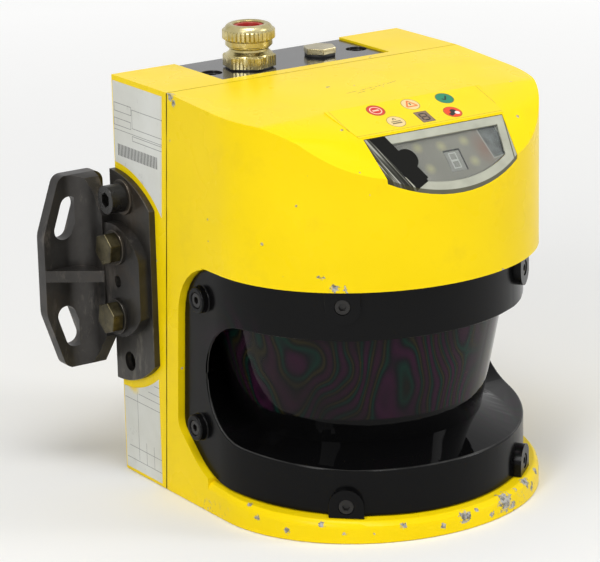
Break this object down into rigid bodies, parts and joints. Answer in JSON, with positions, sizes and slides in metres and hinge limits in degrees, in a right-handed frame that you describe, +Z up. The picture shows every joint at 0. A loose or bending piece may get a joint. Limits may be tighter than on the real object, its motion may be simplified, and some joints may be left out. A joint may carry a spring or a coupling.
{
  "type": "safety laser scanner",
  "caption": "Yellow housing with a dark curved scanning window, status display, cable gland and a side bracket that tilts for wall mounting.",
  "frame": {"origin": "on the base plane, under the axis of the rotating scan mirror", "axes": "+Z up along the mirror's axis, -Y out of the front of the scanner, +X to the side without the bracket"},
  "size_m": [0.1855, 0.1768, 0.204],
  "materials": {
    "yellow_paint": "satin yellow paint on a die casting",
    "cover_black": "high gloss, faint purple and green sheen",
    "seal_black": "matt",
    "screw_black": "blackened",
    "screw_zinc": "zinc plated",
    "window_clear": "clear moulded cover",
    "mask_black": "gloss",
    "board_green": "printed board",
    "display_grey": "matt",
    "lamp_yellow": "clear moulded",
    "film_yellow": "printed film",
    "plate_black": "gloss black",
    "gland_brass": "nickel plated, worn to brass",
    "insert_red": "matt",
    "plug_metal": "nickel plated",
    "label_white": "blank label stock",
    "plate_steel": "phosphated",
    "bracket_iron": "cast and phosphated",
    "bolt_olive": "olive zinc",
    "connector_grey": "matt",
    "terminal_green": "matt",
    "motor_alu": "turned",
    "bearing_steel": "ground",
    "carrier_black": "matt",
    "mirror_glass": "polished",
    "disc_steel": "etched",
    "lens_glass": "polished",
    "tube_black": "black anodised",
    "laser_brass": "turned"
  },
  "bodies": {
    "scanner": {"rear_housing": "yellow_paint", "front_housing": "yellow_paint", "housing_seal": "seal_black", "housing_screws": "screw_zinc", "optics_cover": "cover_black", "cover_seal": "seal_black", "cover_screws": "screw_black", "display_window": "window_clear", "window_mask": "mask_black", "indicator_board": "board_green", "digit_display": "display_grey", "status_lamps": "lamp_yellow", "icon_film": "film_yellow", "connector_plate": "plate_black", "plate_seal": "seal_black", "plate_screws": "screw_black", "plug_housing": "connector_grey", "terminal_strip": "terminal_green", "gland_body": "gland_brass", "gland_nut": "gland_brass", "gland_insert": "insert_red", "gland_washer": "seal_black", "blanking_plug": "plug_metal", "blanking_plug_ring": "seal_black", "upper_label": "label_white", "lower_label": "label_white", "side_plate": "plate_steel", "side_plate_screw": "plate_steel", "side_plate_washer": "plate_steel", "tilt_pin": "screw_zinc", "clamp_bolts": "bolt_olive", "clamp_washers": "bolt_olive", "motor": "motor_alu", "motor_bearings": "bearing_steel", "motor_screws": "screw_black", "receiver_lens": "lens_glass", "lens_tube": "tube_black", "laser_module": "laser_brass", "receiver_board": "board_green", "main_board": "board_green", "board_spacers": "screw_zinc"},
    "scan_head": {"mirror_carrier": "carrier_black", "scan_mirror": "mirror_glass", "encoder_disc": "disc_steel"},
    "bracket": {"wall_bracket": "bracket_iron"}
  },
  "joints": [
    {"name": "mirror_spin", "type": "hinge", "parent": "scanner", "child": "scan_head", "pos_m": [0, 0, 0.064], "axis": [0, 0, 1], "continuous": true},
    {"name": "bracket_tilt", "type": "hinge", "parent": "scanner", "child": "bracket", "pos_m": [-0.083, 0.063, 0.0935], "axis": [1, 0, 0], "range_deg": [-8, 8]}
  ]
}
